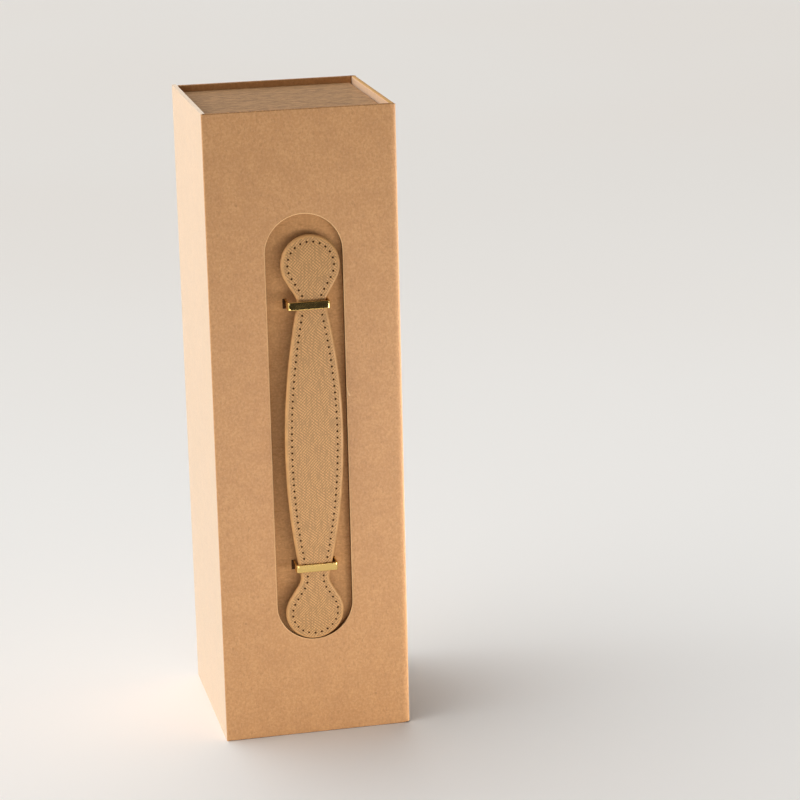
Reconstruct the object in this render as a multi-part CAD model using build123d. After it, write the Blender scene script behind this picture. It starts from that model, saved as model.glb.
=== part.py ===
from build123d import *

import os
from math import asin, atan2, cos, degrees, hypot, radians, sin, sqrt, tan

# A book-style gift box for one bottle, closed and standing on end. A case of four wrapped boards
# goes round an inner tray: base board at the left, spine board in front, lid board at the right
# and closing flap at the back. A strap handle sits on the tray's front wall and shows through a
# round-ended window in the spine board.
# Millimetres. X runs across the front, Y to the back, Z up. The origin is the middle of the
# footprint of the box and its handle, on the floor.

# Driving sizes of the case
CASE_WIDTH = 104.0
CASE_DEPTH = 106.0
CASE_HEIGHT = 350.0
BOARD = 2.0  # grey board of the case
PAPER = 0.3  # kraft covering paper
FOLD_RADIUS = 2.0  # outside radius of a paper fold
FOLD_TAB = 1.0  # flat paper between a fold and the board beside it
BUTT_GAP = 0.2  # base board behind the spine board, at their corner
HEM = 12.0  # covering paper turned in over a board's ends
DOOR_LIFT = 0.5  # lid and flap clear the floor by this much
RIM = 4.0  # the case stands proud of the tray by this much, top and bottom
HEM_CLEARANCE = 0.3  # rim hem to the tray's end

# Window in the spine board
WINDOW_WIDTH = 41.8
WINDOW_SPARE = 11.6  # the window is longer than the strap by this much
WINDOW_TIP_GAP = 0.4  # window's lower end to the strap's lower tip
WINDOW_TURN_IN = 8.0  # covering paper glued behind the window's edge

# Tray
TRAY_BOARD = 2.0
STAY = 0.2  # corner stay tape
STAY_LEG = 14.0
SPINE_GAP = 1.4  # spine board's liner to the tray's front wall
LID_GAP = 1.0  # lid liner to the tray's rim
FLAP_GAP = 0.4  # flap liner to the tray's back wall
FLAP_EDGE_GAP = 0.5  # flap's free edge to the base board's hem
RIM_TURN_IN = 15.0  # tray wrap turned in over the tray's rim

# Magnetic closure
MAGNET_RADIUS = 6.0
MAGNET_THICK = 1.5
KEEPER_RADIUS = 7.0
KEEPER_THICK = 1.0
POCKET_CLEARANCE = 0.2
MAGNET_INSET = 14.0  # from the flap's free edge to a magnet's centre
MAGNET_SPACING = 190.0

# Bottle saddles on the tray floor
BOTTLE_RADIUS = 38.5
NECK_RADIUS = 16.0
BOTTLE_LIFT = 8.0  # floor lining to the bottle
SADDLE_BOARD = 2.0
SADDLE_FLANGE = 14.0
SADDLE_SIDE_GAP = 0.3
BODY_SADDLE_HEIGHT = 36.0
NECK_SADDLE_HEIGHT = 44.0
BODY_SADDLE_GAP = 7.5  # body saddle's web below the lower washer
NECK_SADDLE_DROP = 60.0  # neck saddle's web below the tray's head

# Brackets, bent from flat strip
BRACKET_WIDTH = 23.1
BRACKET_STRIP = 4.4
BRACKET_THICK = 0.9
BRACKET_BAR_GAP = 0.19  # stitches on the strap to the bar's back
BRACKET_INSET = 40.0  # strap's tip to a bracket's middle, along the strap
BRACKETS_DROP = 3.0  # middle between the brackets, below the middle of the case
BRACKET_X = 0.8
BRACKET_BEND = 1.2
BRACKET_TAB = 6.0
SLOT_CLEARANCE = 0.3
WASHER_LENGTH = 38.0
WASHER_HEIGHT = 12.0
WASHER_THICK = 0.6
WASHER_WINDOW_GAP = 0.5

# Strap
STRAP_LENGTH = 227.0
STRAP_THICK = 4.0
STRAP_STAND = 11.7  # tray's front face to the front of the grip's middle
STRAP_BOW = 6.4  # how far the middle stands out from the tips
STRAP_SAG = 2.8  # the strap hangs this far below the brackets' middle
STRAP_X = 1.3
STRAP_LEAN = 1.0  # degrees, top to the right
GRIP_WIDTH = 32.0
NECK_WIDTH = 14.7
NECK_INSET = 35.0  # strap's tip to a neck
NECK_FILLET = 9.0
PADDLE_RADIUS = 16.1
END_LENGTH = 48.0  # each end of the strap that slides, beyond the grip
CUT_SLANT = 25.0  # degrees
CUT_GAP = 0.3
FILLER_THICK = 1.6
FILLER_INSET = 5.5
FILLER_END_GAP = 6.0
STITCH_INSET = 3.5
STITCH_PITCH = 3.6
STITCH_LENGTH = 2.5
STITCH_WIDTH = 0.6
STITCH_THICK = 0.25
STITCH_SEAT = 0.02

# Places worked out from the sizes
BACK_Y = (CASE_DEPTH + STRAP_STAND + STITCH_SEAT + STITCH_THICK - SPINE_GAP - BOARD - 2 * PAPER) / 2
FRONT_Y = BACK_Y - CASE_DEPTH
LEFT_X = -CASE_WIDTH / 2
RIGHT_X = CASE_WIDTH / 2
PANEL = BOARD + 2 * PAPER  # board with paper on both faces
LEFT_FOLD = (LEFT_X + FOLD_RADIUS, FRONT_Y + FOLD_RADIUS)
LID_HINGE = (RIGHT_X - FOLD_RADIUS, FRONT_Y + FOLD_RADIUS)
FLAP_HINGE = (RIGHT_X - FOLD_RADIUS, BACK_Y - FOLD_RADIUS)
BASE_INNER_X = LEFT_X + PAPER + BOARD
BASE_FRONT_Y = FRONT_Y + PANEL + BUTT_GAP
SPINE_END_X = LID_HINGE[0] - FOLD_TAB
LID_FRONT_Y = LID_HINGE[1] + FOLD_TAB
LID_BACK_Y = FLAP_HINGE[1] - FOLD_TAB
FLAP_END_X = FLAP_HINGE[0] - FOLD_TAB
FLAP_EDGE_X = BASE_INNER_X + PAPER + FLAP_EDGE_GAP
DOOR_Z0 = DOOR_LIFT
DOOR_Z1 = CASE_HEIGHT - DOOR_LIFT

TRAY_X0 = BASE_INNER_X
TRAY_X1 = RIGHT_X - PANEL - LID_GAP
TRAY_Y0 = FRONT_Y + PANEL + SPINE_GAP
TRAY_Y1 = BACK_Y - PANEL - FLAP_GAP
TRAY_Z0 = RIM
TRAY_Z1 = CASE_HEIGHT - RIM
SKIN = PAPER + STAY  # tray face to its board
WALL = SKIN + TRAY_BOARD  # tray face to its board's inner face
LINED = WALL + PAPER  # tray face to its lining's inner face
TRAY_RIM_X = TRAY_X1 - PAPER
FLOOR_TOP_X = TRAY_X0 + TRAY_BOARD + PAPER
BOTTLE_AXIS = (FLOOR_TOP_X + BOTTLE_LIFT + BOTTLE_RADIUS, (TRAY_Y0 + TRAY_Y1) / 2)

BRACKET_SPACING = STRAP_LENGTH - 2 * BRACKET_INSET
BRACKET_MID_Z = CASE_HEIGHT / 2 - BRACKETS_DROP
LOWER_BRACKET_Z = BRACKET_MID_Z - BRACKET_SPACING / 2
UPPER_BRACKET_Z = BRACKET_MID_Z + BRACKET_SPACING / 2
BODY_SADDLE_Z = LOWER_BRACKET_Z - (WASHER_HEIGHT + SADDLE_BOARD) / 2 - BODY_SADDLE_GAP
NECK_SADDLE_Z = TRAY_Z1 - NECK_SADDLE_DROP

NECK_SPACING = STRAP_LENGTH - 2 * NECK_INSET
GRIP_LENGTH = STRAP_LENGTH - 2 * END_LENGTH
STRAP_MID_Z = BRACKET_MID_Z - STRAP_SAG
STRAP_MID_Y = TRAY_Y0 - STRAP_STAND + STRAP_THICK / 2
BOW_RADIUS = (STRAP_LENGTH / 2) ** 2 / (2 * STRAP_BOW) + STRAP_BOW / 2
LOWER_REACH = BRACKET_SPACING / 2 - STRAP_SAG  # strap's middle down to the lower bracket
BOW_AT_BRACKET = BOW_RADIUS - sqrt(BOW_RADIUS**2 - LOWER_REACH**2)
STITCHES_FRONT = STRAP_STAND - BOW_AT_BRACKET + STITCH_SEAT + STITCH_THICK
BRACKET_STAND = STITCHES_FRONT + BRACKET_BAR_GAP + BRACKET_THICK  # tray's front to the bar's front
WINDOW_HEIGHT = STRAP_LENGTH + WINDOW_SPARE
WINDOW_MID_Z = STRAP_MID_Z + WINDOW_SPARE / 2 - WINDOW_TIP_GAP


def block(x0, x1, y0, y1, z0, z1):
    """A box given by its faces."""
    middle = Pos((x0 + x1) / 2, (y0 + y1) / 2, (z0 + z1) / 2)
    return middle * Box(x1 - x0, y1 - y0, z1 - z0)


def save(shape, name):
    export_step(shape, "parts/" + name + ".step")


def window_hole(grow):
    """The spine board's window, larger by grow all round, cut right through the panel."""
    plane = Plane(origin=(0, FRONT_Y - PANEL, WINDOW_MID_Z), x_dir=(1, 0, 0), z_dir=(0, 1, 0))
    outline = SlotOverall(WINDOW_HEIGHT + 2 * grow, WINDOW_WIDTH + 2 * grow, rotation=90)
    return extrude(plane * outline, 3 * PANEL)


def quarter_fold(centre, side_x, side_y, z0, z1):
    """Paper round a quarter of a fold, on the side_x and side_y side of its centre."""
    length = z1 - z0
    ring = Cylinder(FOLD_RADIUS, length) - Cylinder(FOLD_RADIUS - PAPER, length)
    corner = Pos(side_x * FOLD_RADIUS, side_y * FOLD_RADIUS, 0)
    quarter = ring & (corner * Box(2 * FOLD_RADIUS, 2 * FOLD_RADIUS, length))
    return Pos(centre[0], centre[1], (z0 + z1) / 2) * quarter


# Case: base board and spine board


def base_board():
    return block(
        LEFT_X + PAPER, BASE_INNER_X, BASE_FRONT_Y, BACK_Y - PAPER, PAPER, CASE_HEIGHT - PAPER
    )


def spine_blank(y0, y1, z_inset):
    """A layer of the spine panel, without its window."""
    return block(LEFT_FOLD[0], SPINE_END_X, y0, y1, z_inset, CASE_HEIGHT - z_inset)


def spine_board():
    return spine_blank(FRONT_Y + PAPER, FRONT_Y + PAPER + BOARD, PAPER) - window_hole(PAPER)


def spine_liner():
    sheet = spine_blank(FRONT_Y + PAPER + BOARD, FRONT_Y + PANEL, HEM)
    return sheet - window_hole(WINDOW_TURN_IN)


def base_cover():
    """The part of the case wrap that covers the base board, with its turned ends."""
    panel = block(LEFT_X, BASE_INNER_X, BASE_FRONT_Y, BACK_Y, 0, CASE_HEIGHT)
    strip = block(LEFT_X, LEFT_X + PAPER, LEFT_FOLD[1], BACK_Y, 0, CASE_HEIGHT)
    cover = panel - base_board() + strip
    hem = RIM - HEM_CLEARANCE
    for z0 in (0, CASE_HEIGHT - hem):
        cover += block(
            BASE_INNER_X, BASE_INNER_X + PAPER, BASE_FRONT_Y, BACK_Y - PANEL, z0, z0 + hem
        )
    return cover


def spine_cover():
    """The part of the case wrap that covers the spine board and lines its window."""
    panel = spine_blank(FRONT_Y, FRONT_Y + PANEL, 0) - window_hole(0)
    return panel - spine_board() - spine_liner()


def case_wrap():
    return base_cover() + quarter_fold(LEFT_FOLD, -1, -1, 0, CASE_HEIGHT) + spine_cover()


# Lid and closing flap


def lid_panel(x0, x1, z_inset):
    return block(x0, x1, LID_FRONT_Y, LID_BACK_Y, DOOR_Z0 + z_inset, DOOR_Z1 - z_inset)


def lid_board():
    return lid_panel(RIGHT_X - PAPER - BOARD, RIGHT_X - PAPER, PAPER)


def lid_liner():
    return lid_panel(RIGHT_X - PANEL, RIGHT_X - PAPER - BOARD, HEM)


def lid_wrap():
    return lid_panel(RIGHT_X - PANEL, RIGHT_X, 0) - lid_board() - lid_liner()


def lid_fold_paper():
    """The fold between spine and lid, which bends as the lid opens."""
    fold = quarter_fold(LID_HINGE, 1, -1, DOOR_Z0, DOOR_Z1)
    fold += block(SPINE_END_X, LID_HINGE[0], FRONT_Y, FRONT_Y + PAPER, DOOR_Z0, DOOR_Z1)
    fold += block(RIGHT_X - PAPER, RIGHT_X, LID_HINGE[1], LID_FRONT_Y, DOOR_Z0, DOOR_Z1)
    return fold


def flap_panel(y0, y1, edge_inset, z_inset):
    return block(
        FLAP_EDGE_X + edge_inset, FLAP_END_X, y0, y1, DOOR_Z0 + z_inset, DOOR_Z1 - z_inset
    )


def magnet_places():
    """The magnets' centres, as X and Z."""
    for side in (-1, 1):
        yield FLAP_EDGE_X + MAGNET_INSET, CASE_HEIGHT / 2 + side * MAGNET_SPACING / 2


def discs(radius, y0, y1):
    """One disc at each magnet's place, between two Y planes."""
    made = []
    for x, z in magnet_places():
        made.append(Pos(x, (y0 + y1) / 2, z) * Rot(90, 0, 0) * Cylinder(radius, y1 - y0))
    return made


def flap_board():
    board = flap_panel(BACK_Y - PAPER - BOARD, BACK_Y - PAPER, PAPER, PAPER)
    for pocket in discs(MAGNET_RADIUS + POCKET_CLEARANCE, BACK_Y - PAPER - MAGNET_THICK, BACK_Y):
        board -= pocket
    return board


def flap_liner():
    return flap_panel(BACK_Y - PANEL, BACK_Y - PAPER - BOARD, PAPER, HEM)


def flap_wrap():
    board = flap_panel(BACK_Y - PAPER - BOARD, BACK_Y - PAPER, PAPER, PAPER)
    return flap_panel(BACK_Y - PANEL, BACK_Y, 0, 0) - board - flap_liner()


def flap_fold_paper():
    """The fold between lid and flap, which bends as the flap opens."""
    fold = quarter_fold(FLAP_HINGE, 1, 1, DOOR_Z0, DOOR_Z1)
    fold += block(RIGHT_X - PAPER, RIGHT_X, LID_BACK_Y, FLAP_HINGE[1], DOOR_Z0, DOOR_Z1)
    fold += block(FLAP_END_X, FLAP_HINGE[0], BACK_Y - PAPER, BACK_Y, DOOR_Z0, DOOR_Z1)
    return fold


def flap_magnets():
    return Compound(discs(MAGNET_RADIUS, BACK_Y - PAPER - MAGNET_THICK, BACK_Y - PAPER))


# Tray


def tray_core(inset, x0, x1):
    """The space inside the tray's outer faces, inset on its four sides."""
    return block(x0, x1, TRAY_Y0 + inset, TRAY_Y1 - inset, TRAY_Z0 + inset, TRAY_Z1 - inset)


def bracket_slots():
    """Clearance cutters for all four bracket legs, right through wall and washers."""
    half = BRACKET_WIDTH / 2
    high = BRACKET_STRIP / 2 + SLOT_CLEARANCE
    cutters = []
    for z in (LOWER_BRACKET_Z, UPPER_BRACKET_Z):
        for side in (-1, 1):
            outer = BRACKET_X + side * (half + SLOT_CLEARANCE)
            inner = BRACKET_X + side * (half - BRACKET_THICK - SLOT_CLEARANCE)
            x0, x1 = sorted((outer, inner))
            cutters.append(block(x0, x1, TRAY_Y0 - 1, TRAY_Y0 + WALL + 2, z - high, z + high))
    return cutters


def without(shape, cutters):
    for cutter in cutters:
        shape -= cutter
    return shape


def tray_front_wall():
    wall = block(
        TRAY_X0, TRAY_RIM_X, TRAY_Y0 + SKIN, TRAY_Y0 + WALL, TRAY_Z0 + SKIN, TRAY_Z1 - SKIN
    )
    return without(wall, bracket_slots())


def keeper_plates():
    return Compound(discs(KEEPER_RADIUS, TRAY_Y1 - SKIN - KEEPER_THICK, TRAY_Y1 - SKIN))


def tray_back_wall():
    wall = block(
        TRAY_X0, TRAY_RIM_X, TRAY_Y1 - WALL, TRAY_Y1 - SKIN, TRAY_Z0 + SKIN, TRAY_Z1 - SKIN
    )
    radius = KEEPER_RADIUS + POCKET_CLEARANCE
    return without(wall, discs(radius, TRAY_Y1 - SKIN - KEEPER_THICK, TRAY_Y1))


def tray_end(z0, z1):
    return block(TRAY_X0, TRAY_RIM_X, TRAY_Y0 + WALL, TRAY_Y1 - WALL, z0, z1)


def tray_floor():
    return tray_core(WALL, TRAY_X0, TRAY_X0 + TRAY_BOARD)


def tray_wrap():
    """Paper round the four walls, over the rim and a short way down inside."""
    cover = tray_core(0, TRAY_X0, TRAY_X1) - tray_core(PAPER, TRAY_X0 - 1, TRAY_RIM_X)
    cover += tray_core(WALL, TRAY_X1 - RIM_TURN_IN, TRAY_X1)
    cover -= tray_core(LINED, TRAY_X0 - 1, TRAY_X1 + 1)
    return without(cover, bracket_slots())


def tray_lining():
    """Paper on the floor and the inner faces, open where the washers lie."""
    lining = tray_core(WALL, TRAY_X0 + TRAY_BOARD, TRAY_X1 - RIM_TURN_IN)
    lining -= tray_core(LINED, FLOOR_TOP_X, TRAY_X1)
    reach_x = WASHER_LENGTH / 2 + WASHER_WINDOW_GAP
    reach_z = WASHER_HEIGHT / 2 + WASHER_WINDOW_GAP
    for z in (LOWER_BRACKET_Z, UPPER_BRACKET_Z):
        lining -= block(
            BRACKET_X - reach_x, BRACKET_X + reach_x, TRAY_Y0, TRAY_Y0 + LINED + 1,
            z - reach_z, z + reach_z,
        )
    return lining


def tray_corner_stays():
    ring = tray_core(PAPER, TRAY_X0, TRAY_RIM_X) - tray_core(SKIN, TRAY_X0 - 1, TRAY_X1)
    stays = []
    for y in (TRAY_Y0, TRAY_Y1):
        for z in (TRAY_Z0, TRAY_Z1):
            corner = block(
                TRAY_X0, TRAY_RIM_X, y - STAY_LEG, y + STAY_LEG, z - STAY_LEG, z + STAY_LEG
            )
            stays += (ring & corner).solids()
    return Compound(stays)


def saddle(z, height, radius):
    """A folded board with a round notch, standing on a flange glued to the tray floor."""
    y0 = TRAY_Y0 + LINED + SADDLE_SIDE_GAP
    y1 = TRAY_Y1 - LINED - SADDLE_SIDE_GAP
    top = FLOOR_TOP_X + height
    web = block(FLOOR_TOP_X, top, y0, y1, z - SADDLE_BOARD / 2, z + SADDLE_BOARD / 2)
    web -= Pos(BOTTLE_AXIS[0], BOTTLE_AXIS[1], z) * Cylinder(radius, 2 * SADDLE_BOARD)
    foot = block(FLOOR_TOP_X, FLOOR_TOP_X + SADDLE_BOARD, y0, y1, z, z + SADDLE_FLANGE)
    return web + foot


# Brackets and washers


def bracket(z):
    """Flat strip bent to a U, its legs through the tray wall and its tabs bent out behind."""
    half = BRACKET_WIDTH / 2
    z0 = z - BRACKET_STRIP / 2
    z1 = z + BRACKET_STRIP / 2
    front = TRAY_Y0 - BRACKET_STAND
    back = TRAY_Y0 + WALL + WASHER_THICK
    made = block(BRACKET_X - half, BRACKET_X + half, front, front + BRACKET_THICK, z0, z1)
    for side in (-1, 1):
        outer = BRACKET_X + side * half
        inner = outer - side * BRACKET_THICK
        tip = outer + side * BRACKET_TAB
        made += block(*sorted((inner, outer)), front, back + BRACKET_THICK, z0, z1)
        made += block(*sorted((inner, tip)), back, back + BRACKET_THICK, z0, z1)
    bends = made.edges().filter_by(Axis.Z).group_by(Axis.Y)[0]
    return fillet(bends, BRACKET_BEND)


def washer(z):
    plate = block(
        BRACKET_X - WASHER_LENGTH / 2, BRACKET_X + WASHER_LENGTH / 2,
        TRAY_Y0 + WALL, TRAY_Y0 + WALL + WASHER_THICK,
        z - WASHER_HEIGHT / 2, z + WASHER_HEIGHT / 2,
    )
    return without(plate, bracket_slots())


# Strap. It is drawn flat in X and Z with its middle at the origin, then bowed, leaned and placed


def strap_outline():
    """A grip with long round sides, a neck near each end and a round paddle beyond it."""
    neck = NECK_SPACING / 2
    slim = (GRIP_WIDTH - NECK_WIDTH) / 2
    side_radius = (neck**2 + slim**2) / (2 * slim)
    shift = side_radius - GRIP_WIDTH / 2
    outline = (Pos(shift, 0) * Circle(side_radius)) & (Pos(-shift, 0) * Circle(side_radius))
    paddle = STRAP_LENGTH / 2 - PADDLE_RADIUS
    run = paddle - neck
    reach = hypot(run, NECK_WIDTH / 2)
    slope = asin(PADDLE_RADIUS / reach) - atan2(NECK_WIDTH / 2, run)
    length = sqrt(reach**2 - PADDLE_RADIUS**2)
    wide_x = NECK_WIDTH / 2 + length * sin(slope)
    wide_z = neck + length * cos(slope)
    flank = Polygon(
        (-NECK_WIDTH / 2, neck), (NECK_WIDTH / 2, neck), (wide_x, wide_z), (-wide_x, wide_z),
        align=None,
    )
    end = flank + Pos(0, paddle) * Circle(PADDLE_RADIUS)
    outline += end
    outline += Rot(0, 0, 180) * end
    necks = [v for v in outline.vertices() if abs(abs(v.Y) - neck) < NECK_WIDTH / 2]
    return fillet(necks, NECK_FILLET)


def standing(sketch, y0, y1):
    """A flat sketch stood up in X and Z and given thickness from y0 to y1."""
    plane = Plane(origin=(0, y1, 0), x_dir=(1, 0, 0), z_dir=(0, -1, 0))
    return extrude(plane * sketch, y1 - y0)


def bowed_layer(front, back):
    """A bowed sheet: front and back are its faces' distances before the strap's middle surface."""
    centre = Pos(0, BOW_RADIUS, 0) * Rot(0, 90, 0)
    outer = centre * Cylinder(BOW_RADIUS + front, 2 * GRIP_WIDTH)
    return outer - centre * Cylinder(BOW_RADIUS + back, 3 * GRIP_WIDTH)


def length_of_strap(z0, z1, slant0, slant1):
    """The space between two slanted cuts across the strap. A slant of 1 rises to the front."""
    deep = 2 * STRAP_STAND
    rise = deep * tan(radians(CUT_SLANT))
    corners = [
        (-deep, z0 + slant0 * rise), (deep, z0 - slant0 * rise),
        (deep, z1 - slant1 * rise), (-deep, z1 + slant1 * rise),
    ]
    side = Plane.YZ * Polygon(*corners, align=None)
    return extrude(side, GRIP_WIDTH, both=True)


def placed(shape):
    """From the strap's own axes to its place on the tray."""
    return Pos(STRAP_X, STRAP_MID_Y, STRAP_MID_Z) * Rot(0, STRAP_LEAN, 0) * shape


def stitches(outline):
    """Thread lengths on the strap's front face, evenly spaced round a line inside its edge."""
    seam = offset(outline, -STITCH_INSET).faces()[0].outer_wire()
    count = round(seam.length / STITCH_PITCH)
    marks = Sketch()
    for n in range(count):
        along = (n + 0.5) / count
        point = seam.position_at(along)
        turn = seam.tangent_at(along)
        angle = degrees(atan2(turn.Y, turn.X))
        marks += Pos(point.X, point.Y) * Rot(0, 0, angle) * Rectangle(STITCH_LENGTH, STITCH_WIDTH)
    front = STRAP_THICK / 2 + STITCH_SEAT
    rods = standing(marks, -2 * STRAP_STAND, 2 * STRAP_STAND)
    return rods & bowed_layer(front + STITCH_THICK, front)


def whole_solids(shape, zone, full):
    """The stitches that lie wholly inside a length of the strap."""
    kept = []
    for solid in (shape & zone).solids():
        if solid.volume > full:
            kept.append(placed(solid))
    return Compound(kept)


def save_strap():
    """Three lengths of strap: the grip, and the two ends that slide through the brackets."""
    outline = strap_outline()
    prism = standing(outline, -2 * STRAP_STAND, 2 * STRAP_STAND)
    face = prism & bowed_layer(STRAP_THICK / 2, 0)
    lining = prism & bowed_layer(0, -STRAP_THICK / 2)
    thread = stitches(outline)
    cut = GRIP_LENGTH / 2
    far = STRAP_LENGTH
    zones = {
        "grip": length_of_strap(-cut + CUT_GAP / 2, cut - CUT_GAP / 2, -1, 1),
        "upper_end": length_of_strap(cut + CUT_GAP / 2, far, 1, 1),
        "lower_end": length_of_strap(-far, -cut - CUT_GAP / 2, -1, -1),
    }
    inner = cut - FILLER_END_GAP
    pad = offset(outline, -FILLER_INSET) & Rectangle(GRIP_WIDTH, 2 * inner)
    pad_prism = standing(pad, -2 * STRAP_STAND, 2 * STRAP_STAND)
    filler = pad_prism & bowed_layer(FILLER_THICK / 2, -FILLER_THICK / 2)
    full_stitch = 0.9 * STITCH_LENGTH * STITCH_WIDTH * STITCH_THICK
    for name, zone in zones.items():
        save(placed((face & zone) - filler), name + "_face")
        save(placed((lining & zone) - filler), name + "_lining")
        save(whole_solids(thread, zone, full_stitch), name + "_stitching")
    save(placed(filler), "grip_filler")


def save_all():
    os.makedirs("parts", exist_ok=True)
    save(base_board(), "base_board")
    save(spine_board(), "spine_board")
    save(spine_liner(), "spine_liner")
    save(case_wrap(), "case_wrap")
    save(lid_board(), "lid_board")
    save(lid_liner(), "lid_liner")
    save(lid_wrap(), "lid_wrap")
    save(lid_fold_paper(), "lid_fold_paper")
    save(flap_board(), "flap_board")
    save(flap_liner(), "flap_liner")
    save(flap_wrap(), "flap_wrap")
    save(flap_fold_paper(), "flap_fold_paper")
    save(flap_magnets(), "flap_magnets")
    save(tray_front_wall(), "tray_front_wall")
    save(tray_back_wall(), "tray_back_wall")
    save(tray_end(TRAY_Z1 - WALL, TRAY_Z1 - SKIN), "tray_head_end")
    save(tray_end(TRAY_Z0 + SKIN, TRAY_Z0 + WALL), "tray_foot_end")
    save(tray_floor(), "tray_floor")
    save(tray_wrap(), "tray_wrap")
    save(tray_lining(), "tray_lining")
    save(tray_corner_stays(), "tray_corner_stays")
    save(keeper_plates(), "keeper_plates")
    save(saddle(BODY_SADDLE_Z, BODY_SADDLE_HEIGHT, BOTTLE_RADIUS), "body_saddle")
    save(saddle(NECK_SADDLE_Z, NECK_SADDLE_HEIGHT, NECK_RADIUS), "neck_saddle")
    save(bracket(LOWER_BRACKET_Z), "lower_bracket")
    save(bracket(UPPER_BRACKET_Z), "upper_bracket")
    save(washer(LOWER_BRACKET_Z), "lower_washer")
    save(washer(UPPER_BRACKET_Z), "upper_washer")
    save_strap()


save_all()
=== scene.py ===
from bisect import bisect_right
from math import asin, atan2, cos, exp, hypot, pi, radians, sin, sqrt, tan

import bmesh
import bpy
from bmesh.types import BMEdge, BMFace, BMVert
from mathutils import Matrix, Vector
from mathutils.kdtree import KDTree


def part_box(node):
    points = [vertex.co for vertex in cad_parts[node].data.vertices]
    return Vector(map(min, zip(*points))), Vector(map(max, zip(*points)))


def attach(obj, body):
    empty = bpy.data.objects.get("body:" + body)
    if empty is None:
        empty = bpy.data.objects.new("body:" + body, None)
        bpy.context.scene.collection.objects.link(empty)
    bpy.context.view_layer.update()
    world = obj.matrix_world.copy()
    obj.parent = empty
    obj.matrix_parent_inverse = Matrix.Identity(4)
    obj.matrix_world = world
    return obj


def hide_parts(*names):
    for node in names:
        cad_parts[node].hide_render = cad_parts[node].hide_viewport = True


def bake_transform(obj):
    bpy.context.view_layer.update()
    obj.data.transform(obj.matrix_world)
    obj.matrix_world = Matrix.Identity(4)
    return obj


bl_info = {
    "name": "Kraft Bottle Gift Box",
    "version": (1, 0, 0),
    "blender": (4, 5, 0),
    "location": "3D View > Sidebar > Gift Box",
    "description": "Kraft paper covers, strap handle and clasps of a book-style bottle gift box",
    "category": "Object",
}

MM = 0.001
UP = (0, 0, 1)
MIDDLE_Z = 175 * MM
SLIVER_Z = 196.5 * MM
FLECKS = ((32.8, 19.4, 0.9), (-38.9, 67.8, 0.8), (-35.3, 300.6, 0.8))
EDGE_COLUMNS = (0.0, 0.05, 0.17, 0.36, 0.62, 1.0, 1.5, 2.2, 3.0, 3.5, 4.0, 4.6, 5.4, 6.4)
MIDDLE_COLUMNS = 7
COOL, NEUTRAL, WARM = (1.0, 0.99, 0.98), (1.0, 0.98, 0.95), (1.0, 0.95, 0.88)
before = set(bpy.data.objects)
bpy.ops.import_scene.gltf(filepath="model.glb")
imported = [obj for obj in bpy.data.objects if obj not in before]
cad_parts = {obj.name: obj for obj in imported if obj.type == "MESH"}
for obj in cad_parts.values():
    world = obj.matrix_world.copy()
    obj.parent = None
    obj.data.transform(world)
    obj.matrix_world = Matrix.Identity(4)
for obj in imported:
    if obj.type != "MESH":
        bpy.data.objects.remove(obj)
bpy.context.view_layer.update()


# Settings


def length(name, description, millimetres, **limits):
    return bpy.props.FloatProperty(
        name=name, description=description, default=millimetres * MM, unit="LENGTH", **limits,
    )


def colour(name, description, default):
    return bpy.props.FloatVectorProperty(
        name=name, description=description, subtype="COLOR", size=3, min=0, max=1, default=default,
    )


class GiftBoxSizes(bpy.types.PropertyGroup):
    """Sizes of the covers, the clasps and the strap"""

    paper: length("Paper", "Thickness of the kraft covering paper", 0.3, min=0.05 * MM)
    edge_round: length("Edge rounding", "Radius of a board's edge under its paper", 0.55, min=0.05 * MM)
    fold_radius: length("Fold radius", "Outside radius of a paper fold between two boards", 2.0)
    corner_radius: length("Corner radius", "Outside radius of the paper round the fixed corner", 0.8)
    window_width: length("Window width", "Width of the round-ended window", 41.8)
    window_height: length("Window height", "Height of the round-ended window", 238.6)
    window_mid_z: length("Window middle", "Height of the window's middle", 174.6)
    tray_wall: length("Tray wall", "Thickness of the tray's walls with their papers", 2.8)
    rim_turn_in: length("Rim turn-in", "Tray paper turned in over the rim", 15.0)
    clasp_width: length("Clasp width", "Outside width of a clasp's bar", 23.1)
    clasp_thick: length("Clasp thickness", "Thickness of the clasp's strip", 0.9)
    slot_clearance: length("Slot clearance", "Room round a clasp's leg in its slot", 0.3)
    slot_spare: length("Slot spare", "More room left of a leg and below it", 0.7)
    strap_length: length("Strap length", "Length of the strap from tip to tip", 227.0)
    strap_thick: length("Strap thickness", "Thickness of the strap in the middle of its padding", 4.0)
    strap_bow: length("Strap bow", "How far the strap's middle stands out from its tips", 6.4)
    strap_stand: length("Strap stand", "From the tray's front to the strap's front, at its middle", 11.7)
    strap_x: length("Strap offset", "Strap's middle from the middle of the box", 1.3)
    strap_mid_z: length("Strap middle", "Height of the strap's middle", 169.2)
    strap_lean: bpy.props.FloatProperty(
        name="Strap lean", description="Lean of the strap, its top to the right",
        default=radians(1.0), subtype="ANGLE",
    )
    grip_width: length("Grip width", "Width of the strap at its middle", 32.0)
    neck_width: length("Neck width", "Width of the strap's necks before they are rounded", 14.7)
    neck_inset: length("Neck inset", "From a tip of the strap to its neck", 35.0)
    neck_blend: length("Neck rounding", "Spread of the rounding at a neck", 2.6)
    paddle_radius: length("Paddle radius", "Radius of the round ends", 16.1)
    stitch_inset: length("Seam inset", "From the strap's edge to its seam", 3.5)
    stitch_pitch: length("Stitch pitch", "From one stitch hole to the next", 3.6)
    thread_width: length("Thread width", "Width of the sewing thread", 0.55)
    hole_width: length("Hole width", "Width of a stitch hole", 1.2)


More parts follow.
